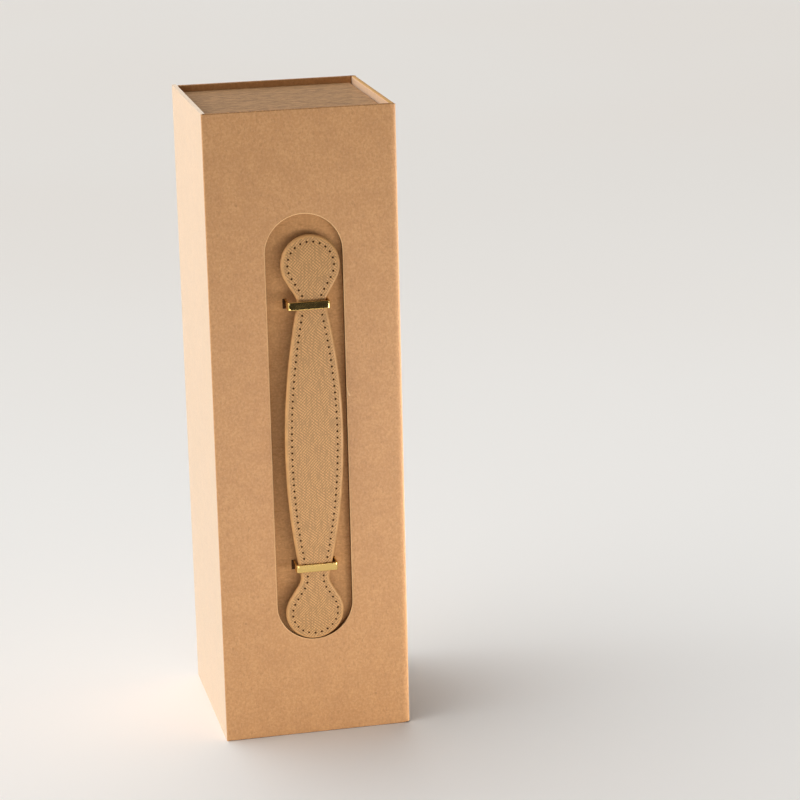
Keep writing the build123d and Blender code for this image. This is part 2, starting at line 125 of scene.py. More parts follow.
class GiftBoxFinishes(bpy.types.PropertyGroup):
    """Colours of the papers, the boards, the strap and the metal"""

    kraft: colour("Kraft", "Main tone of the kraft covering paper", (0.585, 0.288, 0.106))
    kraft_light: colour("Kraft, light", "Lighter fibres in the kraft paper", (0.67, 0.358, 0.150))
    kraft_dark: colour("Kraft, dark", "Darker blotches and shives", (0.43, 0.198, 0.070))
    # Painted shade: the paper over the boards' ends is darkened to stand for the shade on those narrow
    # faces.
    kraft_end_shade: colour("Kraft, board ends", "Paper turned over the boards' ends", (0.26, 0.140, 0.064))
    # Painted shade: the window's cut edge is darkened to stand for the shade in the window's gap.
    window_edge_shade: colour("Window edge", "The window's cut edge", (0.11, 0.048, 0.014))
    # Painted highlight: the paper round the window's rim is paler to stand for the light its rounded edge
    # catches.
    rim_highlight: colour("Worn rim", "The worn paper round the window's rim", (0.82, 0.52, 0.26))
    frayed: colour("Frayed paper", "The sliver's raw paper", (0.80, 0.52, 0.27))
    frayed_light: colour("Frayed paper, light", "Lighter fibres in the raw paper", (0.86, 0.58, 0.32))
    tray_kraft: colour("Tray kraft", "Main tone of the tray's paper", (0.555, 0.288, 0.122))
    # Painted shade: the tray's top end is darker to stand for the little light that falls on it from
    # above.
    head_kraft_shade: colour("Head kraft", "The paper on the tray's two ends", (0.345, 0.191, 0.084))
    liner: colour("Liner", "The liner paper", (0.50, 0.30, 0.090))
    # Painted shade: the flap's liner is darker than the lid's to stand for the shade on the flap's
    # inside.
    flap_liner: colour("Flap liner", "The flap's liner paper", (0.31, 0.170, 0.070))
    board: colour("Grey board", "The raw grey board", (0.30, 0.26, 0.20))
    saddle: colour("Saddle board", "The brown saddle board", (0.42, 0.26, 0.14))
    tape: colour("Corner tape", "The gummed corner tape", (0.62, 0.50, 0.35))
    leather: colour("Strap face", "Main tone of the strap's embossed face", (0.573, 0.311, 0.123))
    leather_edge: colour("Strap edge", "The strap's smooth turned edge", (0.66, 0.350, 0.130))
    backing: colour("Strap back", "The strap's back", (0.36, 0.20, 0.09))
    thread: colour("Thread", "The sewing thread", (0.64, 0.36, 0.15))
    # Painted shade: the dark insides of the stitch holes and the slots.
    hole: colour("Stitch holes", "Inside the stitch holes and the slots", (0.055, 0.022, 0.008))
    gold: colour("Gold", "The gold plating", (0.85, 0.58, 0.20))
    steel: colour("Steel", "The zinc-plated steel", (0.55, 0.56, 0.58))
    nickel: colour("Nickel", "The magnets' plating", (0.68, 0.66, 0.62))
    floor: colour("Floor", "The floor", (0.87, 0.87, 0.865))
    # Painted shade: the floor is darker far behind the box, a painted fall-off of light.
    floor_far: colour("Floor, far", "The floor far behind the box", (0.79, 0.775, 0.755))


def sizes():
    return bpy.context.scene.giftbox_sizes


def finishes():
    return bpy.context.scene.giftbox_finishes


# Materials


class NodeTree:
    """A tree of nodes, and the few kinds of node that the finishes and the room's light are made of."""

    def __init__(self, owner):
        owner.use_nodes = True
        self.nodes = owner.node_tree.nodes
        self.links = owner.node_tree.links
        self.place = self.nodes.new("ShaderNodeTexCoord")

    def feed(self, node, inputs):
        """Links or sets a node's inputs, named or numbered."""
        for key, value in inputs.items():
            socket = node.inputs[key]
            if isinstance(value, bpy.types.NodeSocket):
                self.links.new(value, socket)
            else:
                socket.default_value = (*value, 1) if socket.type == "RGBA" else value

    def node(self, kind, output, inputs, **settings):
        """Adds a node and returns one of its outputs."""
        made = self.nodes.new("ShaderNode" + kind)
        for name, value in settings.items():
            setattr(made, name, value)
        self.feed(made, inputs)
        return made.outputs[output]

    def spot(self, stretch=(1, 1, 1), turn=0, source="Object"):
        return self.node("Mapping", "Vector", {
            "Vector": self.place.outputs[source], "Scale": stretch, "Rotation": (0, 0, radians(turn)),
        })

    def axis(self, name):
        return self.node("SeparateXYZ", name, {0: self.spot()})

    def noise(self, spot, scale, **rest):
        return self.node("TexNoise", "Fac", {"Vector": spot, "Scale": scale, **rest})

    def wave(self, spot, scale, distortion, detail_scale=1.0):
        return self.node("TexWave", "Fac", {
            "Vector": spot, "Scale": scale, "Distortion": distortion, "Detail Scale": detail_scale,
        })

    def steps(self, factor, low, high, start=0.0, end=1.0):
        """A smooth change from start to end as factor goes from low to high."""
        return self.node("MapRange", "Result", {
            "Value": factor, "From Min": low, "From Max": high, "To Min": start, "To Max": end,
        }, interpolation_type="SMOOTHSTEP")

    def mix(self, factor, a, b):
        return self.node("Mix", 2, {"Factor": factor, 6: a, 7: b}, data_type="RGBA")

    def combine(self, a, b, operation="ADD"):
        return self.node("Math", 0, {0: a, 1: b}, operation=operation)

    def relief(self, height, depth, strength, **under):
        return self.node("Bump", "Normal", {
            "Height": height, "Distance": depth, "Strength": strength, **under,
        })


class Finish(NodeTree):
    """One material."""

    def __init__(self, name, roughness, metallic=0.0, specular=0.5):
        self.material = bpy.data.materials.new(name)
        super().__init__(self.material)
        self.shader = self.nodes["Principled BSDF"]
        self.feed(self.shader, {
            "Roughness": roughness, "Metallic": metallic, "Specular IOR Level": specular,
        })

    def wear(self, tone, **rest):
        """Gives the shader what varies over the surface. Returns the material."""
        self.feed(self.shader, {"Base Color": tone, **rest})
        return self.material


def shade(tone, share):
    return [min(1.0, share * c) for c in tone]


def kraft_paper(name, main, light=None, dark=None, grain=(1, 1, 1), sheen=True, ends=None, flecks=()):
    """Kraft paper: fibres that run one way, small soft mottles, a face that glows at a slant. ends is a
    darker tone, painted shade for the tray's top end, and the height it begins at; a fleck is a dark
    spot's place and size."""
    made = Finish(name, 0.5 if sheen else 0.8, specular=0.5 if sheen else 0.2)
    light = light or finishes().kraft_light
    dark = dark or finishes().kraft_dark
    if sheen:
        made.feed(made.shader, {
            "Sheen Weight": 0.9, "Sheen Roughness": 0.4, "Sheen Tint": (0.97, 1.0, 0.90),
        })
    spot = made.spot()
    along = made.spot(stretch=grain)
    mottle = made.noise(spot, 760, Detail=3, Roughness=0.6)
    cloud = made.noise(spot, 110, Detail=3)
    fibre = made.noise(along, 900, Detail=4, Roughness=0.7, Distortion=0.5)
    fleck = made.noise(along, 1700, Roughness=0.7)
    tone = made.mix(made.steps(mottle, 0.38, 0.68, 0.0, 0.85), main, light)
    tone = made.mix(made.steps(cloud, 0.35, 0.70, 0.0, 0.20), tone, dark)
    tone = made.mix(made.steps(fibre, 0.50, 0.70, 0.0, 0.60), tone, dark)
    tone = made.mix(made.steps(fleck, 0.64, 0.72, 0.0, 0.50), tone, dark)
    # Above the given height the tone turns darker: painted shade.
    if ends is not None:
        end, height = ends
        streak = made.noise(made.spot(stretch=(0.3, 1, 1)), 620, Detail=4, Roughness=0.75)
        end_shade = made.mix(made.steps(streak, 0.38, 0.62), shade(end, 0.74), shade(end, 1.26))
        tone = made.mix(made.steps(made.axis("Z"), height - 0.4 * MM, height - 0.2 * MM), tone, end_shade)
    for place, radius in flecks:
        gap = made.node("VectorMath", "Value", {0: spot, 1: place}, operation="DISTANCE")
        tone = made.mix(made.steps(gap, 0.5 * radius, radius, 0.75, 0.0), tone, dark)
    fuzz = made.noise(spot, 2600, Detail=3, Roughness=0.7)
    return made.wear(tone, Normal=made.relief(made.combine(fibre, fuzz), 0.05 * MM, 0.5))


def grey_board(name, main):
    """Raw grey board, pressed in layers, with flecks of old print and fibre."""
    made = Finish(name, 0.9)
    layer = made.noise(made.spot(stretch=(1, 1, 0.15)), 900, Detail=4, Roughness=0.7)
    fleck = made.noise(made.spot(), 1300, Roughness=0.6)
    tone = made.mix(made.steps(layer, 0.35, 0.7), main, shade(main, 1.4))
    tone = made.mix(made.steps(fleck, 0.62, 0.70), tone, shade(main, 0.55))
    return made.wear(tone, Normal=made.relief(layer, 0.1 * MM, 0.6))


def embossed_leather(name, main):
    """Coated leather with a fine slanting cross grain pressed in, laid along the strap by its UV map."""
    made = Finish(name, 0.5, specular=0.35)
    spot = made.spot(source="UV")
    one_way = made.wave(made.spot(turn=42, source="UV"), 262, 2.2, 0.6)
    other_way = made.wave(made.spot(turn=-50, source="UV"), 248, 2.2, 0.5)
    patch = made.noise(spot, 130)
    streak = made.noise(made.spot(stretch=(1, 0.14, 1), source="UV"), 1000)
    crossed = made.combine(
        made.combine(one_way, made.steps(patch, 0.38, 0.62, 0.72, 0.28), "MULTIPLY"),
        made.combine(other_way, made.steps(patch, 0.38, 0.62, 0.26, 0.70), "MULTIPLY"),
    )
    tone = made.mix(made.steps(crossed, 0.15, 0.75), shade(main, 0.66), shade(main, 1.22))
    tone = made.mix(made.steps(streak, 0.45, 0.62, 0.0, 0.7), tone, shade(main, 0.74))
    grain = made.relief(crossed, 0.12 * MM, 0.6)
    pores = made.relief(made.noise(spot, 2400), 0.03 * MM, 0.3, Normal=grain)
    return made.wear(tone, Normal=pores, Roughness=made.steps(crossed, 0.0, 1.0, 0.60, 0.46))


def smooth_leather(name, main, roughness=0.42):
    """The strap's turned edge and its back: the same coat with only a pore grain."""
    made = Finish(name, roughness, specular=0.45)
    patch = made.noise(made.spot(source="UV"), 160, Detail=3)
    pore = made.node("TexVoronoi", "Distance", {"Vector": made.spot(source="UV"), "Scale": 1900})
    tone = made.mix(made.steps(patch, 0.35, 0.7, 0.0, 0.5), main, shade(main, 0.74))
    tone = made.mix(made.steps(pore, 0.0, 0.3, 0.35, 0.0), tone, shade(main, 0.5))
    rough = made.steps(patch, 0.3, 0.7, roughness - 0.05, roughness + 0.1)
    return made.wear(tone, Normal=made.relief(pore, 0.04 * MM, 0.35), Roughness=rough)


def sewing_thread(name, main):
    """Twisted thread, its plies slanting across each stitch."""
    made = Finish(name, 0.6)
    ply = made.wave(made.spot(turn=35, source="UV"), 900, 0.4)
    tone = made.mix(made.steps(ply, 0.2, 0.8), shade(main, 0.55), main)
    return made.wear(tone, Normal=made.relief(ply, 0.06 * MM, 0.8))


def pricked_hole(name, main):
    """Painted shade for the inside of a stitch hole, a little lighter where thread shows."""
    made = Finish(name, 0.9, specular=0.1)
    lint = made.noise(made.spot(source="UV"), 1800)
    tone = made.mix(made.steps(lint, 0.45, 0.7, 0.0, 0.35), main, shade(main, 3.0))
    return made.wear(tone, Normal=made.relief(lint, 0.05 * MM, 0.5))


def plated_metal(name, main, roughness, streak=(1, 1, 1)):
    """Polished plating: faint rolling lines under the coat and a few soft smudges."""
    made = Finish(name, roughness, metallic=1.0)
    line = made.noise(made.spot(stretch=streak), 1400, Detail=3, Roughness=0.6)
    smudge = made.noise(made.spot(), 260)
    tone = made.mix(made.steps(smudge, 0.4, 0.75, 0.0, 0.35), main, shade(main, 0.82))
    rough = made.combine(
        made.steps(smudge, 0.35, 0.75, roughness * 0.8, roughness * 1.7),
        made.steps(line, 0.3, 0.7, 0.0, 0.05),
    )
    return made.wear(tone, Normal=made.relief(line, 0.02 * MM, 0.18), Roughness=rough)


# Modelling helpers


def near(value, target):
    return abs(value - target) < 0.02 * MM


def lies_at(edge, axis, place):
    return all(near(vert.co[axis], place) for vert in edge.verts)


def faces_at(bm, axis, place):
    return [f for f in bm.faces if near(f.calc_center_median()[axis], place)]


def folded(edge, angle=60):
    return edge.calc_face_angle(0) > radians(angle)


def only(kind, geometry):
    return [g for g in geometry if isinstance(g, kind)]


def face_out(bm):
    bmesh.ops.recalc_face_normals(bm, faces=bm.faces[:])


def round_edges(bm, edges, radius, segments=3):
    bmesh.ops.bevel(
        bm, geom=edges, offset=radius, segments=segments, profile=0.5, affect="EDGES", material=-1,
        clamp_overlap=True,
    )


def box_in(bm, low, high):
    """A closed box between two corners."""
    low, high = Vector(low), Vector(high)
    shape = Matrix.Translation((low + high) / 2) @ Matrix.Diagonal((*(high - low), 1))
    bmesh.ops.create_cube(bm, size=1.0, matrix=shape)


def end_face(bm, x, ys, zs):
    """An upright face across the x axis, to be drawn into a solid."""
    corners = ((ys[0], zs[0]), (ys[1], zs[0]), (ys[1], zs[1]), (ys[0], zs[1]))
    return bm.faces.new([bm.verts.new((x, y, z)) for y, z in corners])


def cut_at(bm, point, normal):
    geometry = bm.verts[:] + bm.edges[:] + bm.faces[:]
    bmesh.ops.bisect_plane(bm, geom=geometry, dist=1e-7, plane_co=point, plane_no=normal)


def draw_edges(bm, edges, step):
    """Draws a strip of faces from edges. Returns its new vertices."""
    verts = only(BMVert, bmesh.ops.extrude_edge_only(bm, edges=edges)["geom"])
    bmesh.ops.translate(bm, verts=verts, vec=step)
    return verts


def draw_faces(bm, faces, step):
    """Moves faces by a step and draws walls behind them. Returns the new geometry."""
    grown = bmesh.ops.extrude_face_region(bm, geom=faces)["geom"]
    bmesh.ops.translate(bm, verts=only(BMVert, grown), vec=step)
    bmesh.ops.delete(bm, geom=[f for f in faces if f.is_valid], context="FACES_ONLY")
    return grown


def spin_on(bm, geometry, centre, angle, steps):
    """Spins geometry round an upright axis. Returns its last copy."""
    return bmesh.ops.spin(
        bm, geom=geometry, cent=centre, axis=UP, angle=angle, steps=steps, use_duplicate=False,
    )["geom_last"]


def add_object(name, data):
    made = bpy.data.objects.new(name, data)
    bpy.context.scene.collection.objects.link(made)
    return made


def make_piece(bm, name, materials, sharp=32, recalculate=True):
    """Turns a bmesh into a finished object at the origin, its normals outwards."""
    if recalculate:
        face_out(bm)
    mesh = bpy.data.meshes.new(name)
    bm.to_mesh(mesh)
    bm.free()
    mesh.set_sharp_from_angle(angle=radians(sharp))
    for polygon in mesh.polygons:
        square = max(abs(c) for c in polygon.normal) > 0.9999
        polygon.use_smooth = not (square and polygon.area > 4 * MM * MM)
    for material in materials:
        mesh.materials.append(material)
    return add_object(name, mesh)


def dress(material, *names):
    """Gives CAD nodes their material."""
    for name in names:
        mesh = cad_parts[name].data
        mesh.materials.clear()
        mesh.materials.append(material)


def paper_for(name, flecks=()):
    """The covering paper, and a darker paper where it turns over a board's ends: painted shade."""
    tones = finishes()
    return [
        kraft_paper(name, tones.kraft, grain=(1, 1, 0.45), flecks=flecks),
        kraft_paper(name + "_ends", tones.kraft_end_shade, tones.kraft, sheen=False),
    ]


def mark_ends(piece, from_x=-1.0, window=0.0):
    """The second material for the turned-over ends, darkened as painted shade; the third for the window's
    cut edge, dark with painted shade; the fourth for the window's rim, pale with a painted highlight."""
    for polygon in piece.data.polygons:
        slant = abs(polygon.normal.y)
        in_window = abs(polygon.center.x) < window and abs(polygon.center.z - MIDDLE_Z) < 170 * MM
        if in_window and slant < 0.97:
            polygon.material_index = 2 if slant < 0.5 else 3
        elif abs(polygon.normal.z) > 0.5 and polygon.center.x > from_x:
            polygon.material_index = 1


# Case and doors


def windowed_panel(bm, low, high, size, segments=96):
    """A panel with a round-ended window: a ring pulled apart into the window's outline and bridged to a
    ring pushed out to the panel's own outline."""
    turn = Matrix.Rotation(radians(90), 4, "X") @ Matrix.Rotation(pi / segments, 4, "Z")
    hole = bmesh.ops.create_circle(bm, segments=segments, radius=1.0, matrix=turn)["verts"]
    rim = bmesh.ops.create_circle(bm, segments=segments, radius=1.0, matrix=turn)["verts"]
    radius = size.window_width / 2
    pull = size.window_height / 2 - radius
    for inside, outside in zip(hole, rim):
        way = inside.co.copy()
        arc_z = size.window_mid_z + (pull if way.z > 0 else -pull)
        inside.co = Vector((way.x * radius, low.y, arc_z + way.z * radius))
        reach_x = (high.x if way.x > 0 else low.x) / way.x if abs(way.x) > 1e-9 else 1e9
        reach_z = ((high.z if way.z > 0 else low.z) - arc_z) / way.z
        reach = min(reach_x, reach_z)
        outside.co = Vector((way.x * reach, low.y, arc_z + way.z * reach))
    for x in (low.x, high.x):
        for z in (low.z, high.z):
            corner = Vector((x, low.y, z))
            min(rim, key=lambda vert: (vert.co - corner).length).co = corner
    bmesh.ops.bridge_loops(bm, edges=list({e for v in hole + rim for e in v.link_edges}))
    grown = bmesh.ops.extrude_face_region(bm, geom=bm.faces[:])["geom"]
    bmesh.ops.translate(bm, verts=only(BMVert, grown), vec=(0, high.y - low.y, 0))


def base_side(bm, low, high, size):
    """The base side with its fold: a cross-section of the fold spun a quarter turn, then drawn back."""
    inner_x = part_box("base_board")[1].x + 0.06 * MM
    fold = Vector((low.x + size.corner_radius, low.y + size.corner_radius, 0))
    section = end_face(bm, fold.x, (low.y, fold.y - 0.1 * MM), (low.z, high.z))
    side = only(BMFace, spin_on(bm, [section], fold, -pi / 2, 10))
    for vert in {v for f in side for v in f.verts}:
        if vert.co.x > low.x + 0.3 * MM:
            vert.co.x = inner_x
    draw_faces(bm, side, (0, high.y - fold.y, 0))
    ends = [
        e for e in bm.edges
        if all(v.co.x < inner_x + 0.01 * MM and v.co.y > fold.y - 0.5 * MM for v in e.verts)
        and folded(e) and not lies_at(e, 1, fold.y)
    ]
    round_edges(bm, ends, size.edge_round)


def add_sliver(low, size):
    """A sliver of paper frayed from the window's edge, curling up off the front."""
    bm = bmesh.new()
    edge_x = size.window_width / 2 + size.edge_round
    line = [bm.edges.new([
        bm.verts.new((edge_x + x * MM, low.y - 0.02 * MM, SLIVER_Z + z * MM))
        for x, z in ((0, 0), (0.25, 0.1))
    ])]
    for across, wide, out in (
        (0.09, 1.3, 0.025), (0.2025, 1.7, 0.06), (0.3375, 1.7, 0.11), (0.405, 1.1, 0.17),
    ):
        verts = draw_edges(bm, line, (across * MM, -out * MM, -1.05 * MM))
        line = [e for e in bm.edges if all(v in verts for v in e.verts)]
        middle = sum((v.co for v in verts), Vector()) / len(verts)
        bmesh.ops.scale(bm, verts=verts, vec=(wide, 1, 1), space=Matrix.Translation(-middle))
    face_out(bm)
    bmesh.ops.solidify(bm, geom=bm.faces[:], thickness=0.12 * MM)
    tones = finishes()
    raw = kraft_paper("frayed_paper", tones.frayed, tones.frayed_light, tones.kraft_light, sheen=False)
    sliver = make_piece(bm, "frayed_sliver", [raw])
    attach(sliver, "case")


class GIFTBOX_OT_case_cover(bpy.types.Operator):
    """Kraft paper over the base board and the windowed front board"""

    bl_idname = "giftbox.case_cover"
    bl_label = "Case Cover"

    def execute(self, context):
        size = sizes()
        tones = finishes()
        low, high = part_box("case_wrap")
        panel_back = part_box("spine_liner")[1].y - 0.12 * MM
        fold_x = low.x + size.corner_radius
        bm = bmesh.new()
        windowed_panel(bm, Vector((fold_x, low.y, low.z)), Vector((high.x, panel_back, high.z)), size)
        face_out(bm)
        rims = [
            e for e in bm.edges if folded(e) and not lies_at(e, 0, fold_x) and not lies_at(e, 0, high.x)
        ]
        round_edges(bm, rims, size.edge_round)
        base_side(bm, low, high, size)
        paper = paper_for("kraft_paper_case", [
            (Vector((x * MM, low.y, z * MM)), radius * MM) for x, z, radius in FLECKS
        ])
        edge, highlit = tones.window_edge_shade, tones.rim_highlight
        # The window's cut edge is dark: painted shade.
        paper.append(kraft_paper("window_edge_shade", edge, tones.kraft_end_shade, edge, sheen=False))
        # The window's rounded rim is paler: a painted highlight.
        paper.append(kraft_paper("window_rim_highlight", highlit, highlit, tones.kraft_light, sheen=False))
        piece = make_piece(bm, "case_cover", paper)
        mark_ends(piece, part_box("base_board")[1].x, size.window_width / 2 + MM)
        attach(piece, "case")
        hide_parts("case_wrap")
        add_sliver(low, size)
        return {"FINISHED"}


def wrapped_board(bm, low, high, liner, axis):
    """A paper-covered board with its liner let into the side that faces back along an axis."""
    box_in(bm, low, high)
    others = [i for i in range(3) if i != axis]
    for other in others:
        for corner, edge in zip(liner, (low, high)):
            if abs(corner[other] - edge[other]) > 0.1 * MM:
                cut_at(bm, corner, [int(i == other) for i in range(3)])
    spare = Vector((1, 1, 1)) * 0.05 * MM
    least, most = liner[0] - spare, liner[1] + spare
    bed = [
        f for f in faces_at(bm, axis, low[axis])
        if all(least[i] < f.calc_center_median()[i] < most[i] for i in others)
    ]
    draw_faces(bm, bed, [0.35 * MM if i == axis else 0 for i in range(3)])


class GIFTBOX_OT_doors(bpy.types.Operator):
    """Kraft paper over the lid board and the closing flap"""

    bl_idname = "giftbox.doors"
    bl_label = "Lid and Flap Covers"

    def execute(self, context):
        size = sizes()
        paper = paper_for("kraft_paper_doors")
        for body, axis in (("lid", 0), ("flap", 1)):
            low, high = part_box(body + "_wrap")
            bm = bmesh.new()
            wrapped_board(bm, low, high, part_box(body + "_liner"), axis)
            face_out(bm)
            rims = [
                e for e in bm.edges if folded(e) and (
                    lies_at(e, 2, low.z) or lies_at(e, 2, high.z)
                    or (body == "flap" and lies_at(e, 0, low.x))
                )
            ]
            round_edges(bm, rims, size.edge_round)
            piece = make_piece(bm, body + "_cover", paper)
            mark_ends(piece)
            if body == "lid":
                turned_in = kraft_paper("kraft_paper_turned_in", finishes().liner, sheen=False)
                piece.data.materials.append(turned_in)
                for polygon in piece.data.polygons:
                    if polygon.material_index == 1 and polygon.center.x < high.x - 0.5 * MM:
                        polygon.material_index = 2
            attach(piece, body)
            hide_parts(body + "_wrap")
        return {"FINISHED"}


class GIFTBOX_OT_folds(bpy.types.Operator):
    """The two rounded paper folds between the case, the lid and the flap"""

    bl_idname = "giftbox.folds"
    bl_label = "Paper Folds"

    def execute(self, context):
        size = sizes()
        paper = paper_for("kraft_paper_folds")
        for name, side, bodies in (
            ("lid_fold_paper", -1, ("case", "lid")), ("flap_fold_paper", 1, ("lid", "flap")),
        ):
            low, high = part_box(name)
            outer_y, far_y = (low.y, high.y) if side < 0 else (high.y, low.y)
            hinge = Vector((high.x - size.fold_radius, outer_y - side * size.fold_radius, 0))
            bm = bmesh.new()
            line = bm.edges.new([bm.verts.new((hinge.x, outer_y, z)) for z in (low.z, high.z)])
            draw_edges(bm, [line], (low.x - hinge.x, 0, 0))
            last = only(BMEdge, spin_on(bm, [line], hinge, -side * pi / 2, 16))
            draw_edges(bm, last, (0, far_y - hinge.y, 0))
            bmesh.ops.remove_doubles(bm, verts=bm.verts[:], dist=1e-7)
            face_out(bm)
            for face in bm.faces:
                outward = face.calc_center_median() - hinge
                outward.z = 0
                if face.normal.dot(outward) < 0:
                    face.normal_flip()
            bmesh.ops.solidify(bm, geom=bm.faces[:], thickness=size.paper)
            piece = make_piece(bm, name.replace("_paper", ""), paper)
            mark_ends(piece)
            start, end = Vector((hinge.x, outer_y, 0)), Vector((high.x, hinge.y, 0))
            if side > 0:
                start, end = end, start
            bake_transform(piece)
            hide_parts(name)
        return {"FINISHED"}


# Tray


def cut_slots(bm, front_y, size):
    """Opens the four slots that the clasps' legs go through. Returns the sides, foot and top of each."""
    slots = []
    for name in ("lower_bracket", "upper_bracket"):
        low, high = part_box(name)
        foot, top = low.z - size.slot_clearance - size.slot_spare, high.z + 0.1 * MM
        for side in (-1, 1):
            leg = (low.x + high.x) / 2 + side * (size.clasp_width - size.clasp_thick) / 2
            reach = size.clasp_thick / 2 + size.slot_clearance
            slots.append((leg - reach - size.slot_spare, leg + reach, foot, top))
    for x in sorted({round(v, 7) for s in slots for v in s[:2]}):
        cut_at(bm, (x, 0, 0), (1, 0, 0))
    for z in sorted({round(v, 7) for s in slots for v in s[2:]}):
        cut_at(bm, (0, 0, z), UP)
    opened = []
    for face in faces_at(bm, 1, front_y):
        middle = face.calc_center_median()
        if any(x0 < middle.x < x1 and z0 < middle.z < z1 for x0, x1, z0, z1 in slots):
            opened.append(face)
    bmesh.ops.delete(bm, geom=opened, context="FACES")
    return slots


def add_slot_shades(slots, front_y):
    """A dark sheet let into the paper round each leg: painted shade for the slots' depth."""
    bm = bmesh.new()
    for x0, x1, z0, z1 in slots:
        box_in(bm, (x0, front_y + 0.18 * MM, z0), (x1, front_y + 0.29 * MM, z1))
    tones = finishes()
    dark = kraft_paper("slot_shade", tones.hole, tones.window_edge_shade, tones.hole, sheen=False)
    piece = make_piece(bm, "slot_shades", [dark])
    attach(piece, "case")


class GIFTBOX_OT_tray_cover(bpy.types.Operator):
    """Kraft paper round the tray's walls, over the rim and a short way down inside"""

    bl_idname = "giftbox.tray_cover"
    bl_label = "Tray Cover"

    def execute(self, context):
        size = sizes()
        tones = finishes()
        low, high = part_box("tray_wrap")
        bm = bmesh.new()
        box_in(bm, low, high)
        bmesh.ops.delete(bm, geom=faces_at(bm, 0, low.x), context="FACES")
        rim = faces_at(bm, 0, high.x)
        bmesh.ops.inset_region(bm, faces=rim, thickness=size.tray_wall, use_even_offset=True)
        borders = list({e for f in rim for e in f.edges})
        bmesh.ops.delete(bm, geom=rim, context="FACES_ONLY")
        draw_edges(bm, borders, (-size.rim_turn_in, 0, 0))
        add_slot_shades(cut_slots(bm, low.y, size), low.y)
        face_out(bm)
        if any(f.normal.y > 0 for f in faces_at(bm, 1, low.y)):
            bmesh.ops.reverse_faces(bm, faces=bm.faces[:])
        round_edges(bm, [e for e in bm.edges if folded(e)], 0.9 * size.edge_round)
        bmesh.ops.solidify(bm, geom=bm.faces[:], thickness=size.paper)
        # The tray's top end takes a darker tone: painted shade.
        paper = kraft_paper(
            "kraft_paper_tray", tones.tray_kraft, grain=(0.3, 1, 1), sheen=False,
            ends=(tones.head_kraft_shade, high.z),
        )
        piece = make_piece(bm, "tray_cover", [paper])
        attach(piece, "case")
        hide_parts("tray_wrap")
        return {"FINISHED"}


# Clasps


def bend_strip(bm, low, high, size):
    """Draws the strip's end face along the tab, up the leg, across the bar and back."""
    thick = size.clasp_thick
    left = (low.x + high.x - size.clasp_width) / 2
    right = left + size.clasp_width
    outer = thick + 0.35 * MM
    tight = 0.2 * MM
    front, back = low.y + outer, high.y - thick - tight
    section = end_face(bm, low.x, (high.y - thick, high.y), (low.z, high.z))
    for step, centre, angle in (
        ((left - tight - low.x, 0, 0), (left - tight, back, 0), -90),
        ((0, front - back, 0), (left + outer, front, 0), 90),
        ((size.clasp_width - 2 * outer, 0, 0), (right - outer, front, 0), 90),
        ((0, back - front, 0), (right + tight, back, 0), -90),
    ):
        corner = only(BMFace, draw_faces(bm, [section], step))[0]
        section = only(BMFace, spin_on(bm, [corner], centre, radians(angle), 5))[0]
        if corner.is_valid:
            bmesh.ops.delete(bm, geom=[corner], context="FACES_ONLY")
    draw_faces(bm, [section], (high.x - right - tight, 0, 0))


class GIFTBOX_OT_clasps(bpy.types.Operator):
    """The two flat gold clasps, each one strip bent to a U with its tabs turned out behind"""

    bl_idname = "giftbox.clasps"
    bl_label = "Clasps"

    def execute(self, context):
        gold = plated_metal("gold_plate", finishes().gold, 0.06, streak=(0.05, 1, 1))
        for name in ("upper_bracket", "lower_bracket"):
            low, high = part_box(name)
            bm = bmesh.new()
            bend_strip(bm, low, high, sizes())
            bmesh.ops.remove_doubles(bm, verts=bm.verts[:], dist=1e-7)
            face_out(bm)
            round_edges(bm, [e for e in bm.edges if folded(e, 50)], 0.36 * MM, 4)
            piece = make_piece(bm, name.replace("bracket", "clasp"), [gold], sharp=45)
            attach(piece, "case")
            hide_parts(name)
        return {"FINISHED"}


# Strap


